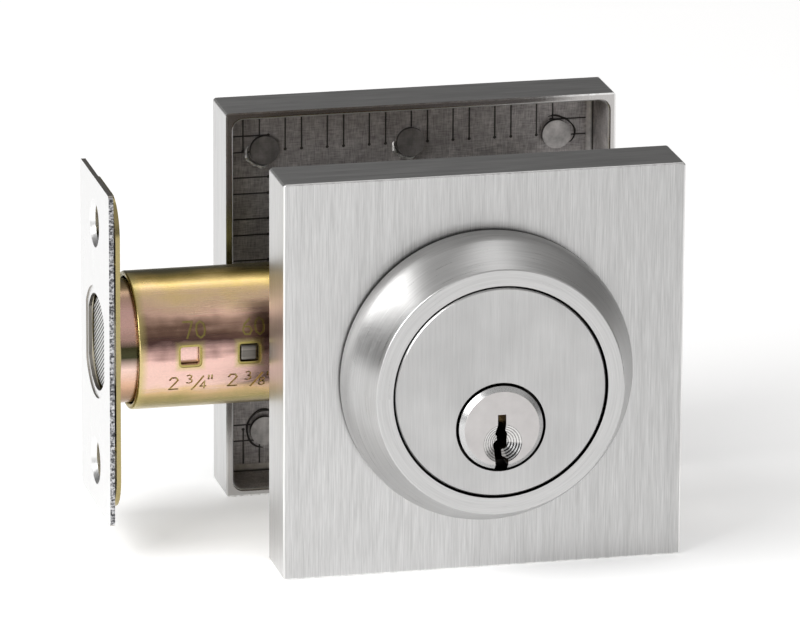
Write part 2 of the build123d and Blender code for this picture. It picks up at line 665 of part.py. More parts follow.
leaf_outer = 9.25
leaf_thickness = 0.45
leaf_inner_y = latch_y - leaf_outer + leaf_thickness
with BuildPart() as detent_spring:
    bar(latch_across(leaf_inner_y), 20.0, 3.8, leaf_thickness, (-44.2, 0), 0.6)
    bar(latch_across(leaf_inner_y - 0.25), 2.8, 2.7, 2.25, (window_60, 0), 0.35)
    crown = detent_spring.faces().sort_by(Axis.Y)[0]
    fillet(crown.edges(), 0.3)
    disc(latch_across(latch_y - 8), leaf_rivet_radius + 0.02, 3, (leaf_rivet_x, 0), Mode.SUBTRACT)
detent_spring.part.label = "detent_spring"

with BuildPart() as detent_rivet:
    disc(latch_across(leaf_inner_y), leaf_rivet_radius, 1.55, (leaf_rivet_x, 0))
    disc(latch_across(leaf_inner_y + 0.5), 1.5, 0.5, (leaf_rivet_x, 0))
detent_rivet.part.label = "detent_rivet"

# ==== inside: rose, plate, bolts and thumbturn ==================================================
with BuildPart() as interior_rose:
    rose_block(inward(door_thickness))
    back = interior_rose.faces().sort_by(Axis.Y)[-1]
    fillet(back.edges(), rose_edge)
    rose_pocket(inward(door_thickness))
    round_pocket(interior_rose, inside_floor, door_thickness)
    groove_floor = across(inside_floor + groove_depth)
    groove_end = grid_half - groove_reach
    for k in range(groove_pairs):
        for step in (0.0, groove_pair_gap):
            x = groove_first_x + groove_pair_pitch * k + step
            z = groove_first_z + groove_pair_pitch * k - step
            for side in (-1, 1):
                middle = side * (grid_half - groove_reach / 2)
                bar(groove_floor, groove_width, groove_reach, groove_depth + 0.5, (x, middle),
                    mode=Mode.SUBTRACT)
                bar(groove_floor, groove_reach, groove_width, groove_depth + 0.5, (middle, z),
                    mode=Mode.SUBTRACT)
                disc(groove_floor, groove_width, groove_depth + 0.5, (x, side * groove_end), Mode.SUBTRACT)
                disc(groove_floor, groove_width, groove_depth + 0.5, (side * groove_end, z), Mode.SUBTRACT)
    for x in (-ejector_x, 0, ejector_x):
        for z in (-ejector_z, ejector_z):
            disc(across(inside_floor + 0.3), ejector_radius, ejector_height + 0.3, (x, z))
    disc(across(inside_face + 1), 6.45, 20, (0, hub_z), Mode.SUBTRACT)
    with BuildSketch(Plane.XY.offset(-rose_side / 2)) as screw_way:
        with Locations((0, set_screw_y)):
            Circle(set_screw_radius + 0.2)
    extrude(screw_way.sketch, amount=3, mode=Mode.SUBTRACT)
interior_rose.part.label = "interior_rose"

plate_face = door_thickness + mount_plate_thickness
lug_z = -31.8
lug_width = 12.0
lug_length = 7.0
lug_thickness = 2.0
with BuildPart() as mounting_plate:
    bar(across(plate_face), mount_plate_x, mount_plate_z, mount_plate_thickness, corner=3.0)
    bar(across(plate_face), lug_width, 14.0, mount_plate_thickness, (0, lug_z + 7.0))
    bar(Plane.XY.offset(lug_z), lug_width, lug_length, lug_thickness, (0, door_thickness + lug_length / 2))
    disc(across(plate_face), 8.4, 5, (0, hub_z), Mode.SUBTRACT)
    for side in (-1, 1):
        disc(across(plate_face), screw_radius + 0.3, 5, (side * screw_x, 0), Mode.SUBTRACT)
    with BuildSketch(Plane.XY.offset(set_screw_foot + 0.5)) as tapped:
        with Locations((0, set_screw_y)):
            Circle(set_screw_radius + 0.02)
    extrude(tapped.sketch, amount=5, mode=Mode.SUBTRACT)
mounting_plate.part.label = "mounting_plate"

bolt_head_front = plate_face + 2.4
with BuildPart() as mounting_bolts:
    for side in (-1, 1):
        disc(across(plate_face), screw_radius, plate_face - 0.6, (side * screw_x, 0))
        disc(across(bolt_head_front), 3.9, bolt_head_front - plate_face, (side * screw_x, 0))
    fillet(mounting_bolts.faces().sort_by(Axis.Y)[-2:].edges(), 0.8)
    for side in (-1, 1):
        for width, height in ((4.4, 0.9), (0.9, 4.4)):
            bar(across(bolt_head_front), width, height, 1.4, (side * screw_x, 0), mode=Mode.SUBTRACT)
mounting_bolts.part.label = "mounting_bolts"

with BuildPart() as rose_set_screw:
    with BuildSketch(Plane.XY.offset(set_screw_foot)) as set_screw_end:
        with Locations((0, set_screw_y)):
            Circle(set_screw_radius)
    extrude(set_screw_end.sketch, amount=5.0)
    with BuildSketch(Plane.XY.offset(set_screw_foot)) as socket:
        with Locations((0, set_screw_y)):
            RegularPolygon(0.8, 6)
    extrude(socket.sketch, amount=1.5, mode=Mode.SUBTRACT)
rose_set_screw.part.label = "rose_set_screw"

shaft_rear = inside_face - 6.2
clip_front = shaft_rear + 2.05
groove_radius = 4.3
washer_rear = clip_front + 0.1
washer_front = washer_rear + 0.55
bushing_rear = washer_front + 0.1
bushing_radius = 6.4
base_front = turn_back + 3.2
with BuildPart() as thumbturn_bushing:
    turned([(turn_shaft + 0.08, bushing_rear), (8.0, bushing_rear), (8.0, inside_floor),
            (bushing_radius, inside_floor), (bushing_radius, inside_face + 0.2),
            (turn_shaft + 0.08, inside_face + 0.2)], hub_z)
thumbturn_bushing.part.label = "thumbturn_bushing"

with BuildPart() as thumbturn_washer:
    turned([(turn_shaft + 0.3, washer_rear), (8.2, washer_rear), (8.2, washer_front),
            (turn_shaft + 0.3, washer_front)], hub_z)
thumbturn_washer.part.label = "thumbturn_washer"

with BuildPart() as thumbturn_circlip:
    disc(across(clip_front), 7.2, 0.8, (0, hub_z))
    disc(across(clip_front), groove_radius + 0.05, 0.8, (0, hub_z), Mode.SUBTRACT)
    bar(across(clip_front), 6.2, 8.5, 0.8, (0, hub_z - 4.25), mode=Mode.SUBTRACT)
thumbturn_circlip.part.label = "thumbturn_circlip"

with BuildPart() as thumbturn:
    turned([(0, shaft_rear), (turn_shaft, shaft_rear), (turn_shaft, clip_front - 0.85),
            (groove_radius, clip_front - 0.85), (groove_radius, clip_front + 0.05),
            (turn_shaft, clip_front + 0.05), (turn_shaft, turn_back), (turn_base - 0.3, turn_back),
            (turn_base, turn_back + 0.3), (turn_base, base_front - 0.8), (turn_base - 0.8, base_front),
            (0, base_front)], hub_z)
    with BuildSketch(inward(base_front - 1.2)) as paddle:
        with Locations((0, -hub_z)):
            RectangleRounded(paddle_width, paddle_length, 2.5)
    extrude(paddle.sketch, amount=turn_front - base_front + 1.2)
    fillet(thumbturn.faces().sort_by(Axis.Y)[-1].edges(), 1.2)
    bar(across(shaft_rear + 5.8), slot_width, slot_height, 6.5, (0, hub_z), mode=Mode.SUBTRACT)
thumbturn.part.label = "thumbturn"

# ==== one file for each piece ===================================================================
pieces = [exterior_rose, guard_ring, ring_spring_washer, cylinder_housing, cylinder_core,
          pin_chamber_cap, driver_pins, pin_springs, post_plate, plate_screws, key_plug, key_pins,
          plug_clip, tailpiece, outer_tube, latch_case, case_rivets, hub_crank, drive_slide,
          drive_pin, slide_pawl, bolt_tail, bolt_tail_rivet, bolt, bolt_armour_pin, faceplate,
          backplate, front_sleeve, detent_spring, detent_rivet, interior_rose, mounting_plate,
          mounting_bolts, rose_set_screw, thumbturn_bushing, thumbturn_washer, thumbturn_circlip,
          thumbturn]
for piece in pieces:
    export_step(piece.part, "parts/" + piece.part.label + ".step")
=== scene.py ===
"""Looks for the deadbolt door lock: satin nickel outside, yellow zinc latch, cast grey inside the roses."""
import math

import bmesh
import bpy
from mathutils import Matrix, Vector


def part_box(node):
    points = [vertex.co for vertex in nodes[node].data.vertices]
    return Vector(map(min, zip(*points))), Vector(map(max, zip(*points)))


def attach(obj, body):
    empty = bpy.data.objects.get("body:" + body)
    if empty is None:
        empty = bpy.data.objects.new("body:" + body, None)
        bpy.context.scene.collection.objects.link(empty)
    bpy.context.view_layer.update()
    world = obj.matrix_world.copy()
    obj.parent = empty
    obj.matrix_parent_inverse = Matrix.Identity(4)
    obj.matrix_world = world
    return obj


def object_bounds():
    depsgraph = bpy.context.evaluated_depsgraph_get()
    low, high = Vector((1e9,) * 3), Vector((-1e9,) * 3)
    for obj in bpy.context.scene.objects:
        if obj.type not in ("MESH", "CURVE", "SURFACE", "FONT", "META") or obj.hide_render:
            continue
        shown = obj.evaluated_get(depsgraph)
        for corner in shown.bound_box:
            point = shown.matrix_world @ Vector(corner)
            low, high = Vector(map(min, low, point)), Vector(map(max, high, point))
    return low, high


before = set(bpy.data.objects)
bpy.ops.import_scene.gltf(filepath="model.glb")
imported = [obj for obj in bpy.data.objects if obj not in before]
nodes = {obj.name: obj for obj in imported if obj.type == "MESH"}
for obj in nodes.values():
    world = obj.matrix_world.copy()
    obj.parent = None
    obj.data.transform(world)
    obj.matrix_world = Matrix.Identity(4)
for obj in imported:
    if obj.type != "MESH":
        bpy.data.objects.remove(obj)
cad_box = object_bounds()
MM = 0.001                        # turns millimetres into metres: the object's sizes below are in mm


class Graph:
    """A material's node tree, with short calls for the nodes that these finishes need."""

    def __init__(self, name):
        self.material = bpy.data.materials.new(name)
        self.material.use_nodes = True
        self.tree = self.material.node_tree
        self.tree.nodes.clear()
        self.shader = self.node("ShaderNodeBsdfPrincipled")
        output = self.node("ShaderNodeOutputMaterial")
        self.tree.links.new(self.shader.outputs["BSDF"], output.inputs["Surface"])
        place = self.node("ShaderNodeTexCoord").outputs["Object"]
        self.place = self.vector("SCALE", place, scale=1 / MM)

    def node(self, kind, **settings):
        made = self.tree.nodes.new(kind)
        for key, value in settings.items():
            setattr(made, key, value)
        return made

    def put(self, socket, value):
        """Link a socket, or set its value."""
        if isinstance(value, bpy.types.NodeSocket):
            self.tree.links.new(value, socket)
        else:
            socket.default_value = value

    def vector(self, operation, a, b=None, scale=None):
        made = self.node("ShaderNodeVectorMath", operation=operation)
        self.put(made.inputs[0], a)
        if b is not None:
            self.put(made.inputs[1], b)
        if scale is not None:
            self.put(made.inputs["Scale"], scale)
        return made.outputs[0]

    def math(self, operation, a, b=0.0):
        made = self.node("ShaderNodeMath", operation=operation)
        self.put(made.inputs[0], a)
        self.put(made.inputs[1], b)
        return made.outputs[0]

    def plus(self, a, b):
        return self.math("ADD", a, b)

    def minus(self, a, b):
        return self.math("SUBTRACT", a, b)

    def times(self, a, b):
        """The product, which is 1 where two masks are 1."""
        return self.math("MULTIPLY", a, b)

    def larger(self, a, b):
        """The larger, which is 1 where one of two masks is 1."""
        return self.math("MAXIMUM", a, b)

    def opposite(self, mask):
        """1 where the mask is 0, and 0 where it is 1."""
        return self.math("SUBTRACT", 1.0, mask)

    def above(self, value, limit):
        """1 where the value is over the limit."""
        return self.math("GREATER_THAN", value, limit)

    def below(self, value, limit):
        """1 where the value is under the limit."""
        return self.math("LESS_THAN", value, limit)

    def away(self, value, centre=0.0):
        """How far the value lies from a centre, on either side."""
        return self.math("ABSOLUTE", self.minus(value, centre))

    def distance(self, a, b):
        """The length of the vector (a, b)."""
        return self.math("SQRT", self.plus(self.times(a, a), self.times(b, b)))

    def split(self, vector=None):
        made = self.node("ShaderNodeSeparateXYZ")
        self.put(made.inputs[0], self.place if vector is None else vector)
        return made.outputs[0], made.outputs[1], made.outputs[2]

    def join(self, x, y, z):
        made = self.node("ShaderNodeCombineXYZ")
        for socket, value in zip(made.inputs, (x, y, z)):
            self.put(socket, value)
        return made.outputs[0]

    def noise(self, vector, scale, detail=3.0, roughness=0.55):
        made = self.node("ShaderNodeTexNoise")
        self.put(made.inputs["Vector"], vector)
        made.inputs["Scale"].default_value = scale
        made.inputs["Detail"].default_value = detail
        made.inputs["Roughness"].default_value = roughness
        return made.outputs[0]

    def span(self, value, low, high, to_low=0.0, to_high=1.0):
        """Map low..high to to_low..to_high, held at both ends."""
        made = self.node("ShaderNodeMapRange", clamp=True)
        for socket, number in zip(made.inputs, (value, low, high, to_low, to_high)):
            self.put(socket, number)
        return made.outputs[0]

    def ramp(self, value, stops):
        """A colour ramp of (place, (r, g, b)) stops."""
        made = self.node("ShaderNodeValToRGB")
        elements = made.color_ramp.elements
        while len(elements) < len(stops):
            elements.new(0.5)
        for element, (place, colour) in zip(elements, stops):
            element.position = place
            element.color = (*colour, 1.0)
        self.put(made.inputs[0], value)
        return made.outputs[0]

    def mix(self, factor, a, b):
        made = self.node("ShaderNodeMix", data_type="RGBA")
        self.put(made.inputs[0], factor)
        self.put(made.inputs[6], a if isinstance(a, bpy.types.NodeSocket) else (*a, 1.0))
        self.put(made.inputs[7], b if isinstance(b, bpy.types.NodeSocket) else (*b, 1.0))
        return made.outputs[2]

    def bump(self, height, depth):
        """Relief of that depth in millimetres."""
        made = self.node("ShaderNodeBump")
        made.inputs["Distance"].default_value = depth * MM
        self.put(made.inputs["Height"], height)
        return made.outputs[0]

    def finish(self, colour, roughness, metallic=1.0, normal=None):
        """Put the values on the shader, and give the material."""
        shader = self.shader
        self.put(shader.inputs["Base Color"], colour if isinstance(colour, bpy.types.NodeSocket)
                 else (*colour, 1.0))
        self.put(shader.inputs["Roughness"], roughness)
        self.put(shader.inputs["Metallic"], metallic)
        if normal is not None:
            self.put(shader.inputs["Normal"], normal)
        return self.material


# ---- grain patterns -----------------------------------------------------------------------------
BRUSH_RELIEF = 0.004


def straight_grain(graph, along="Z", fine=5.2, stretch=0.03):
    """Short brush strokes that run along one axis: a fine and a coarse layer, each from 0 to 1."""
    squeeze = [1.0, 1.0, 1.0]
    squeeze["XYZ".index(along)] = stretch
    lines = graph.vector("MULTIPLY", graph.place, tuple(squeeze))
    return graph.noise(lines, fine, 3.0, 0.65), graph.noise(lines, fine / 5, 3.0, 0.6)


def radius_and_turn(graph, centre_x=0.0, centre_z=0.0):
    """Distance from a line along Y, and the angle round it."""
    x, y, z = graph.split()
    x = graph.minus(x, centre_x)
    z = graph.minus(z, centre_z)
    return graph.distance(x, z), graph.math("ARCTAN2", z, x)


def spun_grain(graph, centre_z=0.0, fine=4.2):
    """Brush lines that run round a line along Y at that height."""
    radius, turn = radius_and_turn(graph, 0.0, centre_z)
    y = graph.split()[1]
    lines = graph.join(radius, y, graph.times(turn, 0.5))
    return graph.noise(lines, fine, 3.0, 0.65), graph.noise(lines, fine / 5, 3.0, 0.6)


def brushed(graph, colour, grain, roughness, contrast):
    """Brushed metal: the grain varies the tone and the roughness."""
    fine, coarse = grain
    tone = graph.plus(graph.span(fine, 0.3, 0.7, 1 - contrast, 1 + contrast),
                      graph.span(coarse, 0.3, 0.7, -contrast / 3, contrast / 3))
    shade = graph.vector("SCALE", colour, scale=tone)
    return shade, graph.span(fine, 0.3, 0.7, roughness - 0.04, roughness + 0.05)


def between(graph, value, low, high, soft=0.05):
    """1 where the value lies from low to high, falling to 0 over the soft width outside."""
    rise = graph.span(value, low - soft, low)
    fall = graph.span(value, high, high + soft, 1.0, 0.0)
    return graph.times(rise, fall)


def facing(graph, axis, least=0.8):
    """1 on faces that point along that axis, either way."""
    normal = graph.node("ShaderNodeTexCoord").outputs["Normal"]
    part = graph.away(graph.split(normal)["XYZ".index(axis)])
    return graph.span(part, least - 0.1, least + 0.1)


# ---- finishes: satin nickel ---------------------------------------------------------------------
NICKEL = (0.56, 0.558, 0.555)
# near-black painted shade for bores, gaps and hidden sides, where shade falls
PAINTED_GAP_SHADE = (0.012, 0.011, 0.010)
POCKET_DEPTH = 8.8                # of the hollow behind each rose's face
BOSS_HEIGHT = 1.0                 # ejector bosses, on the pocket's floor
PALE_CORNERS = 200.0              # x times z is over it at the upper right and lower left bosses
EDGE_HIGHLIGHT_WIDTH = 0.3                   # width of the painted highlight along the roses' edges
RIM_SKIN = 0.06                   # the rim is this deep, counted in from the door
RIM_WIDTH = 0.9                   # the pocket lies inside it
RIM_ROUNDING = 0.4                # the pocket's casting starts below it
hub_height = (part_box("thumbturn")[0].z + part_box("thumbturn")[1].z) / 2 / MM


def rose_satin(graph, half, length, depth, at_rim):
    """The rose's brushed skin: upright grain, level on top, and a smoother rim. Painted light: lighter to the
    left and darker to the right, painted shade on top, a painted dark reflection on the rim, and a painted
    highlight along the edges.
    """
    x, y, z = graph.split()
    upright = straight_grain(graph, "Z")
    level = straight_grain(graph, "X", 3.4)
    on_top = facing(graph, "Z")
    fine = graph.mix(on_top, upright[0], level[0])
    coarse = graph.mix(on_top, upright[1], level[1])
    shade, rough = brushed(graph, NICKEL, (fine, coarse), 0.33, 0.16)
    # painted light: lighter towards the left and darker towards the right, as the key light falls, and
    # painted shade on the top faces
    shade = graph.vector("SCALE", shade, scale=graph.span(x, -half, half, 1.06, 0.93))
    shade = graph.vector("SCALE", shade, scale=graph.span(on_top, 0.0, 1.0, 1.0, 0.86))
    # painted reflection: the rim is painted darker, as the dark reflection that it shows
    shade = graph.mix(at_rim, shade, (0.50, 0.485, 0.475))
    rough = graph.minus(rough, graph.times(at_rim, 0.12))
    side_borders = [graph.above(graph.away(side), half - EDGE_HIGHLIGHT_WIDTH) for side in (x, z)]
    end_border = graph.larger(at_rim, graph.above(depth, length - EDGE_HIGHLIGHT_WIDTH))
    borders = graph.plus(graph.plus(*side_borders), end_border)
    # painted highlight: a bright line along the edges where two faces meet
    edge_highlight = graph.times(graph.above(borders, 1.5), graph.span(coarse, 0.3, 0.6, 0.35, 0.9))
    return graph.mix(edge_highlight, shade, (0.92, 0.92, 0.91)), rough, fine


def rose_casting(graph, depth, pocket):
    """The pocket's bare casting: a linen-like print, bosses that are dark or pale with painted shade down
    their sides, and painted shade in the grooves.
    """
    x, y, z = graph.split()
    mottle = graph.noise(graph.place, 0.3, 4.0, 0.6)
    cast = graph.ramp(mottle, [(0.3, (0.30, 0.28, 0.275)), (0.55, (0.40, 0.375, 0.37)),
                               (0.75, (0.52, 0.49, 0.48))])
    weft = graph.noise(graph.vector("MULTIPLY", graph.place, (0.12, 1.0, 1.0)), 4.5, 2.0, 0.6)
    warp = graph.noise(graph.vector("MULTIPLY", graph.place, (1.0, 1.0, 0.12)), 4.5, 2.0, 0.6)
    weave = graph.times(graph.plus(weft, warp), 0.5)
    cast = graph.vector("SCALE", cast, scale=graph.span(weave, 0.38, 0.62, 0.68, 1.35))
    boss_depths = between(graph, depth, POCKET_DEPTH - BOSS_HEIGHT - 0.1, POCKET_DEPTH - 0.15, 0.05)
    bosses = graph.times(pocket, boss_depths)
    # painted shade: the bosses' sides are near-black
    boss_side = graph.times(bosses, graph.opposite(facing(graph, "Y", 0.6)))
    pale_boss = graph.above(graph.times(x, z), PALE_CORNERS)
    boss_grey = graph.mix(pale_boss, (0.17, 0.16, 0.155), (0.52, 0.50, 0.49))
    boss_face = graph.vector("SCALE", boss_grey, scale=graph.span(mottle, 0.35, 0.65, 0.7, 1.4))
    cast = graph.mix(graph.times(bosses, 0.85), cast, boss_face)
    cast = graph.mix(boss_side, cast, (0.05, 0.045, 0.04))
    # painted shade: grooves below the pocket's floor are dark
    grooves = graph.times(pocket, graph.span(depth, POCKET_DEPTH + 0.02, POCKET_DEPTH + 0.07))
    return graph.mix(grooves, cast, (0.06, 0.055, 0.05)), weave


def rose_finish(name, node, rim, way_in):
    """Satin nickel outside, bare casting in the pocket, which opens at Y = rim and runs in along way_in."""
    low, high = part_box(node)
    half = (high.x - low.x) / 2 / MM
    length = (high.y - low.y) / MM
    graph = Graph(name)
    x, y, z = graph.split()
    reach = graph.larger(graph.away(x), graph.away(z))
    depth = graph.times(graph.minus(y, rim / MM), way_in)
    pocket_depths = between(graph, depth, RIM_ROUNDING, POCKET_DEPTH + 0.4, 0.3)
    pocket = graph.times(pocket_depths, graph.below(reach, half - RIM_WIDTH))
    at_rim = graph.below(depth, RIM_SKIN)
    satin, rough, grain = rose_satin(graph, half, length, depth, at_rim)
    cast, weave = rose_casting(graph, depth, pocket)
    roughness = graph.plus(graph.times(pocket, 0.14), rough)
    metallic = graph.opposite(graph.times(pocket, 0.55))
    relief = graph.bump(graph.mix(pocket, grain, weave), 0.006)
    return graph.finish(graph.mix(pocket, satin, cast), roughness, metallic, relief)


RING_BORE = 18.3                  # radius just outside the ring's bore
RING_EDGE = 0.08                  # the bore's painted shade starts this far behind its front
RING_SEAT = 0.45                  # strip of painted shade where the ring meets the rose


def ring_finish():
    """The guard ring's spun nickel, with painted shade in its bore and where it meets the rose."""
    graph = Graph("spun_nickel")
    grain = spun_grain(graph)
    shade, rough = brushed(graph, NICKEL, grain, 0.31, 0.10)
    low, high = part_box("guard_ring")
    radius = radius_and_turn(graph)[0]
    y = graph.split()[1]
    bore = graph.times(graph.below(radius, RING_BORE), graph.above(y, low.y / MM + RING_EDGE))
    seat = graph.above(y, high.y / MM - RING_SEAT)
    # painted shade in the bore and in the seat against the rose
    shade = graph.mix(graph.larger(bore, seat), shade, PAINTED_GAP_SHADE)
    return graph.finish(shade, rough, normal=graph.bump(grain[0], BRUSH_RELIEF))


PLUG_HOLE = 7.75                  # radius just outside the hole that the plug's head stands in
HOLE_EDGE = 0.06                  # painted shade in the hole starts this far behind the face
FACE_EDGE = 0.32                  # painted shade on the side starts this far behind the face


def face_finish():
    """The cylinder's face, with painted shade down its side and in the gap round the plug."""
    graph = Graph("cylinder_face_nickel")
    grain = straight_grain(graph)
    shade, rough = brushed(graph, NICKEL, grain, 0.34, 0.07)
    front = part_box("cylinder_housing")[0].y / MM
    y = graph.split()[1]
    hub_radius = radius_and_turn(graph, 0.0, hub_height)[0]
    hole = graph.times(graph.below(hub_radius, PLUG_HOLE), graph.above(y, front + HOLE_EDGE))
    side = graph.above(y, front + FACE_EDGE)
    cloud = graph.span(graph.noise(graph.place, 0.09, 2.0), 0.35, 0.65, 0.86, 0.97)
    shade = graph.vector("SCALE", shade, scale=cloud)
    # painted shade down the side and in the gap round the plug
    shade = graph.mix(graph.larger(hole, side), shade, PAINTED_GAP_SHADE)
    return graph.finish(shade, rough, normal=graph.bump(grain[0], BRUSH_RELIEF))


def thumbturn_finish():
    graph = Graph("thumbturn_nickel")
    grain = straight_grain(graph)
    shade, rough = brushed(graph, NICKEL, grain, 0.32, 0.055)
    return graph.finish(shade, rough, normal=graph.bump(grain[0], BRUSH_RELIEF))


DIMPLE_X = 0.15
DIMPLE_DROP = 2.6                 # below the plug's axis
DIMPLE_RADIUS = 3.35
PLUG_FACE_RADIUS = 6.28           # the bevel starts here
KEYWAY_REACH = 6.2                # radius inside which the walls are the keyway's
KEYWAY_EDGE = 0.2                 # they are brass, darkened as painted shade, from this far behind the plug's front
HEAD_RADIUS = 6.6                 # the head's side lies outside it
HEAD_EDGE = 0.85                  # and has painted shade from this far behind the plug's front
TURNING_LINES = 15.0              # radians of tool mark for each millimetre out from the dimple's middle


def plug_finish():
    """Plated plug: a turned bevel and dimple with a painted dark reflection at its lower right, a warm flat
    face, brass inside the keyway darkened as painted shade, and painted shade down the head's side.
    """
    graph = Graph("plug_nickel")
    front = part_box("key_plug")[0].y / MM
    grit = graph.noise(graph.place, 6.0, 3.0)
    cloud = graph.noise(graph.place, 0.4, 3.0)
    flat = graph.ramp(cloud, [(0.3, (0.55, 0.53, 0.525)), (0.7, (0.61, 0.59, 0.583))])
    y = graph.split()[1]
    hub_radius = radius_and_turn(graph, 0.0, hub_height)[0]
    dimple_radius, turn = radius_and_turn(graph, DIMPLE_X, hub_height - DIMPLE_DROP)
    behind = graph.above(y, front + 0.02)
    in_dimple = graph.times(behind, graph.below(dimple_radius, DIMPLE_RADIUS))
    in_bevel = graph.times(behind, graph.above(hub_radius, PLUG_FACE_RADIUS))
    rings = graph.math("SINE", graph.times(dimple_radius, TURNING_LINES))
    rings = graph.plus(rings, graph.span(grit, 0.3, 0.7, -0.6, 0.6))
    ring_share = graph.span(rings, -1.2, 1.2)
    # turning marks: lit over most of the dimple, and painted dark at its lower right as the dark reflection
    # there
    lit_rings = graph.ramp(ring_share, [(0.1, (0.24, 0.235, 0.23)), (0.6, (0.68, 0.67, 0.66))])
    shaded_rings = graph.ramp(ring_share, [(0.3, (0.02, 0.02, 0.02)), (0.95, (0.5, 0.5, 0.5))])
    lower_right = between(graph, turn, -1.25, -0.1, 0.12)
    colour = graph.mix(in_dimple, flat, graph.mix(lower_right, lit_rings, shaded_rings))
    colour = graph.mix(in_bevel, colour, (0.58, 0.58, 0.58))
    wall = graph.times(graph.opposite(facing(graph, "Y", 0.4)), graph.below(hub_radius, KEYWAY_REACH))
    keyway = graph.times(wall, graph.above(y, front + KEYWAY_EDGE))
    head_side = graph.times(graph.above(y, front + HEAD_EDGE), graph.above(hub_radius, HEAD_RADIUS))
    # the keyway's walls are brass, darkened further as painted shade; the head's side gets painted shade
    colour = graph.mix(keyway, colour, (0.13, 0.10, 0.06))
    colour = graph.mix(head_side, colour, PAINTED_GAP_SHADE)
    turned = graph.larger(in_dimple, in_bevel)
    rough = graph.minus(graph.span(grit, 0.3, 0.7, 0.36, 0.46), graph.times(turned, 0.12))
    relief = graph.plus(graph.times(grit, 0.3), graph.times(in_dimple, rings))
    return graph.finish(colour, rough, normal=graph.bump(relief, 0.004))


SHEARED_EDGE = 0.3                # thickness of the rough skin at the plate's sides


def plate_finish():
    """Satin plate with sheared outer edges, which are rough and dark, and painted shade on the walls in its
    openings.
    """
    graph = Graph("faceplate_nickel")
    grain = straight_grain(graph, "Z", 3.0)
    shade, rough = brushed(graph, (0.82, 0.82, 0.818), grain, 0.3, 0.02)
    low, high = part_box("faceplate")
    half = (high.y - low.y) / 2 / MM
    from_middle = graph.away(graph.split()[1], (low.y + high.y) / 2 / MM)
    rim = graph.times(facing(graph, "Y"), graph.above(from_middle, half - SHEARED_EDGE))
    shear = graph.noise(graph.vector("MULTIPLY", graph.place, (0.7, 1.0, 1.0)), 3.0, 2.0, 0.7)
    torn = graph.ramp(shear, [(0.38, (0.04, 0.04, 0.045)), (0.52, (0.30, 0.30, 0.31)),
                              (0.64, (0.66, 0.66, 0.67))])
    # painted shade on the walls inside the openings
    wall = graph.times(graph.opposite(facing(graph, "X", 0.3)), graph.below(from_middle, half - SHEARED_EDGE))
    shade = graph.mix(wall, shade, (0.34, 0.32, 0.29))
    return graph.finish(graph.mix(rim, shade, torn), rough, normal=graph.bump(grain[0], BRUSH_RELIEF))


GROOVE_TOP = 0.06                 # behind the bolt's end, where the painted shade in the grooves starts
GROOVE_FLOOR = 0.3                # and where it stops


def bolt_finish():
    """Nickel bolt, with painted shade in the grooves across its end."""
    graph = Graph("bolt_nickel")
    grain = straight_grain(graph, "X", 3.0)
    shade, rough = brushed(graph, (0.68, 0.68, 0.675), grain, 0.3, 0.05)
    x = graph.split()[0]
    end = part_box("bolt")[0].x / MM
    groove = between(graph, x, end + GROOVE_TOP, end + GROOVE_FLOOR, 0.02)
    groove = graph.times(groove, graph.below(x, end + GROOVE_FLOOR))
    # painted shade in the grooves
    colour = graph.mix(groove, shade, (0.30, 0.295, 0.29))
    return graph.finish(colour, rough, normal=graph.bump(grain[0], BRUSH_RELIEF))


# ---- finishes: brass, yellow zinc, steel and nylon ----------------------------------------------
CORE_FRONT = 0.2                  # depth of the painted shade on the core's front


def brass_finish():
    """Machined brass, with painted shade on the core's front, which stands in the gap behind the plug's head.
    """
    graph = Graph("machined_brass")
    grain = spun_grain(graph, hub_height)
    shade, rough = brushed(graph, (0.72, 0.53, 0.27), grain, 0.3, 0.08)
    # painted shade on the core's front
    front = graph.below(graph.split()[1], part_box("cylinder_core")[0].y / MM + CORE_FRONT)
    return graph.finish(graph.mix(front, shade, PAINTED_GAP_SHADE), rough, normal=graph.bump(grain[0], BRUSH_RELIEF))


# The film's colours from the tube's foot (0) by its front (0.5) to its top (1): the chromate's own colours,
# with a painted dark reflection just above the front (0.56 to 0.62) and a painted highlight near the top
# (0.86).
FILM_AND_REFLECTIONS = [(0.0, (0.25, 0.21, 0.08)), (0.12, (0.50, 0.40, 0.20)), (0.21, (0.46, 0.38, 0.14)),
        (0.30, (0.72, 0.50, 0.26)), (0.38, (0.84, 0.58, 0.50)), (0.49, (0.82, 0.53, 0.47)),
        (0.56, (0.16, 0.085, 0.075)), (0.62, (0.24, 0.14, 0.10)), (0.70, (0.80, 0.52, 0.40)),
        (0.78, (0.92, 0.66, 0.42)), (0.86, (0.95, 0.70, 0.28)), (0.93, (0.52, 0.38, 0.11)),
        (1.0, (0.20, 0.17, 0.05))]
# The sleeve's colours, from the foot of its front to the top: the chromate's own colours, with a painted dark
# reflection across the middle (0.50 to 0.58).
SLEEVE_FILM_AND_REFLECTIONS = [(0.0, (0.30, 0.20, 0.10)), (0.25, (0.72, 0.44, 0.30)), (0.40, (0.84, 0.60, 0.52)),
               (0.50, (0.05, 0.05, 0.025)), (0.58, (0.07, 0.065, 0.03)), (0.64, (0.80, 0.50, 0.42)),
               (0.85, (0.84, 0.52, 0.46)), (1.0, (0.28, 0.20, 0.08))]
SLEEVE_PINK = (0.84, 0.56, 0.50)          # as it shows in the tube's window
HALO = (0.60, 0.50, 0.20)                 # film beside the tube's edges
ENGRAVED = (0.36, 0.30, 0.09)
BACKPLATE_YELLOW = (0.40, 0.33, 0.15)
QUARTER_TURN = 1.57
WINDOWS = (8.7, 18.7)                     # the two windows, from the tube's front end
SLEEVE_RADIUS = 10.4
SLEEVE_DEPTH = 1.1                        # whatever lies deeper in the tube is the sleeve
ENGRAVING = (0.33, 0.1)                   # depths below the tube's outside where its numbers are cut
ENGRAVING_STOP = 4                        # from the tube's rear end
BANDED_END = 2                            # from the tube's front end, the sleeve shows its bands
BACKPLATE_BEGINS = 2.8                    # ahead of the tube's front end


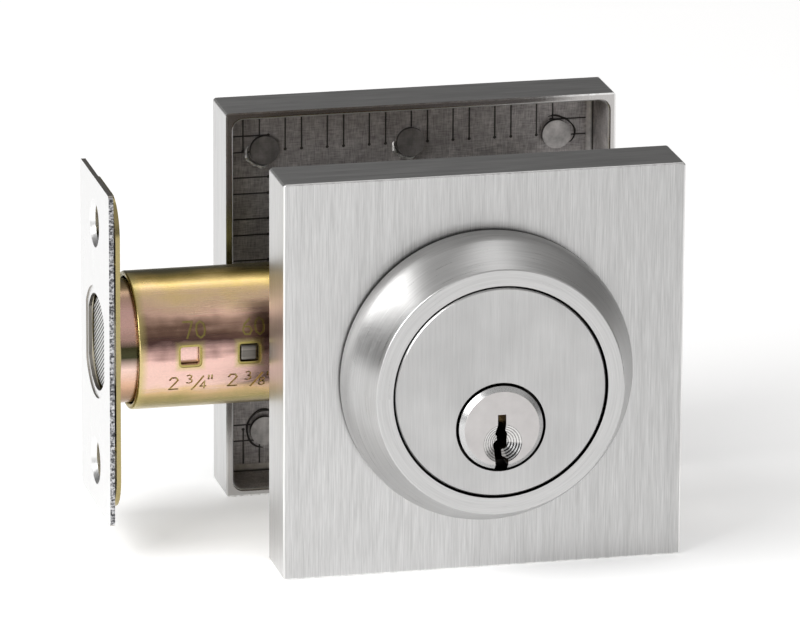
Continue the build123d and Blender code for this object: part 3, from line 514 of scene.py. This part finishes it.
def zinc_finish():
    """Yellow chromate: its film colours, with painted reflections, change round the tube, drawn out along it,
    and beside its edges.
    """
    graph = Graph("yellow_chromate")
    low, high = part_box("outer_tube")
    tube_front = low.x / MM
    tube_radius = (high.z - low.z) / 2 / MM
    x, y, z = graph.split()
    across = graph.minus((low.y + high.y) / 2 / MM, y)
    height = graph.minus(z, (low.z + high.z) / 2 / MM)
    radius = graph.distance(across, height)
    in_front = graph.above(across, 0.0)
    streaks = graph.noise(graph.vector("MULTIPLY", graph.place, (0.05, 1.0, 1.0)), 0.5, 3.0, 0.6)
    clouds = graph.noise(graph.place, 0.10, 3.0, 0.55)
    drift = graph.plus(graph.span(streaks, 0.25, 0.75, -0.12, 0.12),
                       graph.span(clouds, 0.25, 0.75, -0.2, 0.2))
    turn = graph.plus(graph.math("ARCTAN2", height, across), drift)
    # film colour with a painted highlight and a painted dark reflection, by the angle round the tube
    colour = graph.ramp(graph.span(turn, -QUARTER_TURN, QUARTER_TURN), FILM_AND_REFLECTIONS)
    halo = graph.span(x, tube_front + 0.4, tube_front + 1.7, 0.8, 0.0)
    for window in WINDOWS:
        ring = graph.larger(graph.away(x, tube_front + window), graph.away(height))
        halo = graph.larger(halo, graph.span(ring, 1.9, 2.7, 0.75, 0.0))
    colour = graph.mix(graph.times(halo, in_front), colour, HALO)
    cut_depth = between(graph, radius, tube_radius - ENGRAVING[0], tube_radius - ENGRAVING[1], 0.02)
    engraved = graph.times(cut_depth, in_front)
    engraved = graph.times(engraved, graph.below(x, high.x / MM - ENGRAVING_STOP))
    colour = graph.mix(graph.times(engraved, 0.85), colour, ENGRAVED)
    # the sleeve's film colour, with a painted dark reflection across its middle
    banded = graph.ramp(graph.span(height, -SLEEVE_RADIUS, SLEEVE_RADIUS), SLEEVE_FILM_AND_REFLECTIONS)
    sleeve = graph.mix(graph.above(x, tube_front + BANDED_END), banded, SLEEVE_PINK)
    inside = graph.times(graph.below(radius, tube_radius - SLEEVE_DEPTH), in_front)
    colour = graph.mix(inside, colour, sleeve)
    colour = graph.mix(graph.below(x, tube_front - BACKPLATE_BEGINS), colour, BACKPLATE_YELLOW)
    grit = graph.noise(graph.place, 5.0, 3.0)
    shade = graph.vector("SCALE", colour, scale=graph.span(grit, 0.3, 0.7, 0.93, 1.07))
    return graph.finish(shade, graph.span(streaks, 0.3, 0.7, 0.22, 0.31), normal=graph.bump(grit, 0.004))


def steel_finish(name, colour, roughness, along="X", contrast=0.07):
    graph = Graph(name)
    grain = straight_grain(graph, along, 2.5)
    shade, rough = brushed(graph, colour, grain, roughness, contrast)
    return graph.finish(shade, rough, normal=graph.bump(grain[0], BRUSH_RELIEF))


def nylon_finish():
    graph = Graph("moulded_nylon")
    grit = graph.noise(graph.place, 2.5, 4.0)
    colour = graph.ramp(grit, [(0.3, (0.74, 0.72, 0.66)), (0.7, (0.82, 0.80, 0.75))])
    return graph.finish(colour, graph.span(grit, 0.3, 0.7, 0.45, 0.6), metallic=0.0,
                        normal=graph.bump(grit, 0.01))


def paint(material, *names):
    """Give CAD nodes a finish, in every slot they have."""
    for name in names:
        node = nodes[name]
        if not node.material_slots:
            node.data.materials.append(material)
        for slot in node.material_slots:
            slot.material = material


door_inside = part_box("interior_rose")[0].y
paint(rose_finish("outside_rose_nickel", "exterior_rose", 0.0, -1.0), "exterior_rose")
paint(rose_finish("inside_rose_nickel", "interior_rose", door_inside, 1.0), "interior_rose")
paint(ring_finish(), "guard_ring")
paint(face_finish(), "cylinder_housing")
paint(thumbturn_finish(), "thumbturn")
paint(plug_finish(), "key_plug")
paint(brass_finish(), "cylinder_core", "key_pins", "driver_pins")
paint(plate_finish(), "faceplate")
paint(bolt_finish(), "bolt")
paint(zinc_finish(), "outer_tube", "front_sleeve", "backplate", "latch_case", "mounting_plate",
      "post_plate")
paint(steel_finish("leaf_steel", (0.20, 0.185, 0.165), 0.3, "X", 0.5), "detent_spring")
paint(steel_finish("spring_steel", (0.50, 0.50, 0.50), 0.3, "Z"), "slide_pawl", "pin_springs",
      "ring_spring_washer", "thumbturn_circlip", "plug_clip")
paint(steel_finish("hard_steel", (0.42, 0.42, 0.43), 0.25), "bolt_armour_pin", "drive_pin",
      "detent_rivet", "bolt_tail_rivet", "case_rivets")
paint(steel_finish("plated_steel", (0.58, 0.58, 0.57), 0.35), "bolt_tail", "drive_slide", "tailpiece",
      "hub_crank", "thumbturn_washer", "pin_chamber_cap")
paint(steel_finish("screw_steel", (0.62, 0.62, 0.6), 0.3, "Y"), "plate_screws", "mounting_bolts",
      "rose_set_screw")
paint(nylon_finish(), "thumbturn_bushing")


# ---- rough flash that the casting left round its ejector bosses ---------------------------------
BOSS_X = 25.6
BOSS_Z = 25.0
BOSS_RADIUS = 2.5
FLASH_STEPS = 28
FLASH_SINK = 0.05                 # how far the flash is sunk in the pocket's floor
casting_floor = door_inside / MM + POCKET_DEPTH


def flash_finish(name, colour, roughness):
    graph = Graph(name)
    grit = graph.noise(graph.place, 1.6, 4.0, 0.7)
    shade = graph.vector("SCALE", colour, scale=graph.span(grit, 0.3, 0.7, 0.6, 1.3))
    return graph.finish(shade, roughness, 0.8, graph.bump(grit, 0.05))


def flash_section(share, shift, gap, width, height):
    """The flash's section at a share of its sweep: four (distance from the boss's middle, Y) corners."""
    swell = math.sin(math.pi * (0.04 + 0.92 * share)) ** 0.6
    ragged = 1.0 + 0.22 * math.sin(9.0 * share + shift) + 0.13 * math.sin(23.0 * share + 1.0)
    inner = BOSS_RADIUS + gap * (1.0 + 0.5 * math.sin(7.0 * share))
    across = width * swell * ragged
    top = casting_floor - height * swell * ragged
    low = casting_floor + FLASH_SINK
    return (inner, low), (inner + 0.2 * across, top), (inner + 0.7 * across, top), (inner + across, low)


def make_flash(name, centre, start, sweep, gap, width, height, material):
    """A ragged crescent of metal on the pocket's floor: it starts and sweeps, in degrees, round a boss."""
    shape = bmesh.new()
    rows = []
    for k in range(FLASH_STEPS + 1):
        share = k / FLASH_STEPS
        turn = math.radians(start + sweep * share)
        row = []
        for r, y in flash_section(share, centre[0], gap, width, height):
            corner = Vector((centre[0] + r * math.cos(turn), y, centre[1] + r * math.sin(turn)))
            row.append(shape.verts.new(corner * MM))
        rows.append(row)
    for before, after in zip(rows, rows[1:]):
        for k in range(4):
            shape.faces.new((before[k], before[(k + 1) % 4], after[(k + 1) % 4], after[k]))
    shape.faces.new(rows[0])
    shape.faces.new(rows[-1])
    bmesh.ops.recalc_face_normals(shape, faces=shape.faces)
    mesh = bpy.data.meshes.new(name)
    shape.to_mesh(mesh)
    shape.free()
    mesh.materials.append(material)
    piece = bpy.data.objects.new(name, mesh)
    bpy.context.scene.collection.objects.link(piece)
    smooth = piece.modifiers.new("smooth", "SUBSURF")
    smooth.levels = smooth.render_levels = 2
    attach(piece, "lock_body")


# the flash pieces are real; their pale colour is a painted highlight on the left and middle bosses, and the
# near-black colour is painted shade round the right and low bosses
flash_highlight_paint = flash_finish("flash_painted_highlight", (0.85, 0.84, 0.82), 0.28)
flash_shade_paint = flash_finish("flash_painted_shade", (0.07, 0.065, 0.06), 0.5)
make_flash("casting_flash_left", (-BOSS_X, BOSS_Z), 165, 120, 0.15, 1.2, 0.55, flash_highlight_paint)
make_flash("casting_flash_middle", (0.0, BOSS_Z), 175, 115, 0.1, 1.1, 0.55, flash_highlight_paint)
make_flash("casting_flash_right", (BOSS_X, BOSS_Z), -35, 150, 0.5, 0.5, 0.3, flash_shade_paint)
make_flash("casting_flash_low", (-BOSS_X, -BOSS_Z), 20, 250, 0.5, 0.6, 0.3, flash_shade_paint)


# ---- floor, light and camera --------------------------------------------------------------------
FLOOR_SIDE = 4.0
FLOOR_GLOW = 0.38                 # keeps the floor white round the faint shadows
foot = cad_box[0][2]


def make_floor():
    """A plain white floor under the lock, which glows a little."""
    bpy.ops.mesh.primitive_plane_add(size=1.0, location=(0.0, 0.0, foot))
    floor = bpy.context.active_object
    floor.name = "floor"
    floor.scale = (FLOOR_SIDE, FLOOR_SIDE, 1.0)
    graph = Graph("floor_white")
    speck = graph.noise(graph.place, 0.02, 2.0)
    colour = graph.ramp(speck, [(0.0, (0.80, 0.80, 0.80)), (1.0, (0.83, 0.83, 0.83))])
    graph.shader.inputs["Emission Color"].default_value = (1.0, 1.0, 1.0, 1.0)
    graph.shader.inputs["Emission Strength"].default_value = FLOOR_GLOW
    floor.data.materials.append(graph.finish(colour, 0.9, metallic=0.0))


def make_light(name, place, aim, size, power, colour=(1.0, 1.0, 1.0)):
    """A rectangular soft box at place, facing aim, of that size in metres and power in watts."""
    lamp = bpy.data.lights.new(name, "AREA")
    lamp.shape = "RECTANGLE"
    lamp.size, lamp.size_y = size
    lamp.energy = power
    lamp.color = colour
    light = bpy.data.objects.new(name, lamp)
    bpy.context.scene.collection.objects.link(light)
    light.location = place
    light.rotation_euler = (Vector(aim) - Vector(place)).to_track_quat("-Z", "Y").to_euler()


# The studio's grey from the horizon (0) to straight overhead (1), in front and behind.
FRONT_WALL = ((0.0, 0.28), (0.3, 0.34), (0.6, 0.58), (1.0, 0.50))
BACK_WALL = ((0.0, 0.14), (0.35, 0.15), (0.7, 0.30), (1.0, 0.50))


def make_wall(tree, height, stops):
    """A colour ramp of (height, grey) stops."""
    ramp = tree.nodes.new("ShaderNodeValToRGB")
    elements = ramp.color_ramp.elements
    while len(elements) < len(stops):
        elements.new(0.5)
    for element, (place, grey) in zip(elements, stops):
        element.position = place
        element.color = (grey, grey * 0.99, grey * 0.98, 1.0)
    tree.links.new(height, ramp.inputs[0])
    return ramp.outputs[0]


def make_world():
    """A studio's walls: dim near the horizon, brighter overhead, and darker behind than in front."""
    world = bpy.data.worlds.new("studio")
    bpy.context.scene.world = world
    world.use_nodes = True
    tree = world.node_tree
    tree.nodes.clear()
    way = tree.nodes.new("ShaderNodeTexCoord")
    split = tree.nodes.new("ShaderNodeSeparateXYZ")
    tree.links.new(way.outputs["Generated"], split.inputs[0])
    back_share = tree.nodes.new("ShaderNodeMapRange")
    back_share.inputs["From Min"].default_value = -0.2
    back_share.inputs["From Max"].default_value = 0.3
    tree.links.new(split.outputs["Y"], back_share.inputs["Value"])
    mix = tree.nodes.new("ShaderNodeMix")
    mix.data_type = "RGBA"
    tree.links.new(back_share.outputs[0], mix.inputs[0])
    tree.links.new(make_wall(tree, split.outputs["Z"], FRONT_WALL), mix.inputs[6])
    tree.links.new(make_wall(tree, split.outputs["Z"], BACK_WALL), mix.inputs[7])
    back = tree.nodes.new("ShaderNodeBackground")
    tree.links.new(mix.outputs[2], back.inputs["Color"])
    output = tree.nodes.new("ShaderNodeOutputWorld")
    tree.links.new(back.outputs[0], output.inputs["Surface"])


CAMERA_YAW = 13.1          # degrees that the camera stands to the left of the lock's front
CAMERA_PITCH = 16.5        # degrees that it looks down
CAMERA_ROLL = 0.3
CAMERA_DISTANCE = 1.278    # metres, as is the point that it looks at
CAMERA_AIM = (-0.0118, 0.0, 0.0078)
LENS_PER_WIDTH = 9.62      # focal length over the picture's width


def make_camera():
    """A level view turned by yaw and pitch, then rolled about the line of sight."""
    yaw, pitch, roll = (math.radians(a) for a in (CAMERA_YAW, CAMERA_PITCH, CAMERA_ROLL))
    ahead = Vector((math.sin(yaw) * math.cos(pitch), math.cos(yaw) * math.cos(pitch), -math.sin(pitch)))
    level = Vector((math.cos(yaw), -math.sin(yaw), 0.0))
    up = level.cross(ahead)
    right = math.cos(roll) * level + math.sin(roll) * up
    over = math.cos(roll) * up - math.sin(roll) * level
    lens = bpy.data.cameras.new("camera")
    lens.sensor_width = 36.0
    lens.lens = LENS_PER_WIDTH * lens.sensor_width
    lens.clip_end = 20.0
    camera = bpy.data.objects.new("camera", lens)
    bpy.context.scene.collection.objects.link(camera)
    turn = Matrix((right, over, -ahead)).transposed().to_4x4()
    camera.matrix_world = Matrix.Translation(Vector(CAMERA_AIM) - CAMERA_DISTANCE * ahead) @ turn
    bpy.context.scene.camera = camera


make_floor()
make_world()
make_light("key_upper_left", (-0.98, -0.36, 0.72), (0.0, 0.0, 0.0), (0.9, 0.7), 14.0)
make_light("card_low_left", (-0.75, -0.95, 0.12), (0.0, 0.0, 0.03), (0.5, 0.35), 1.6)
make_light("strip_overhead", (0.24, 0.38, 0.95), (0.0, 0.0, 0.0), (0.9, 0.16), 0.7)
make_light("fill_right_back", (1.0, 0.85, 0.25), (0.0, 0.0, 0.0), (0.9, 0.7), 0.5, (1.0, 0.95, 0.91))
make_camera()
bpy.context.scene.view_settings.view_transform = "Standard"
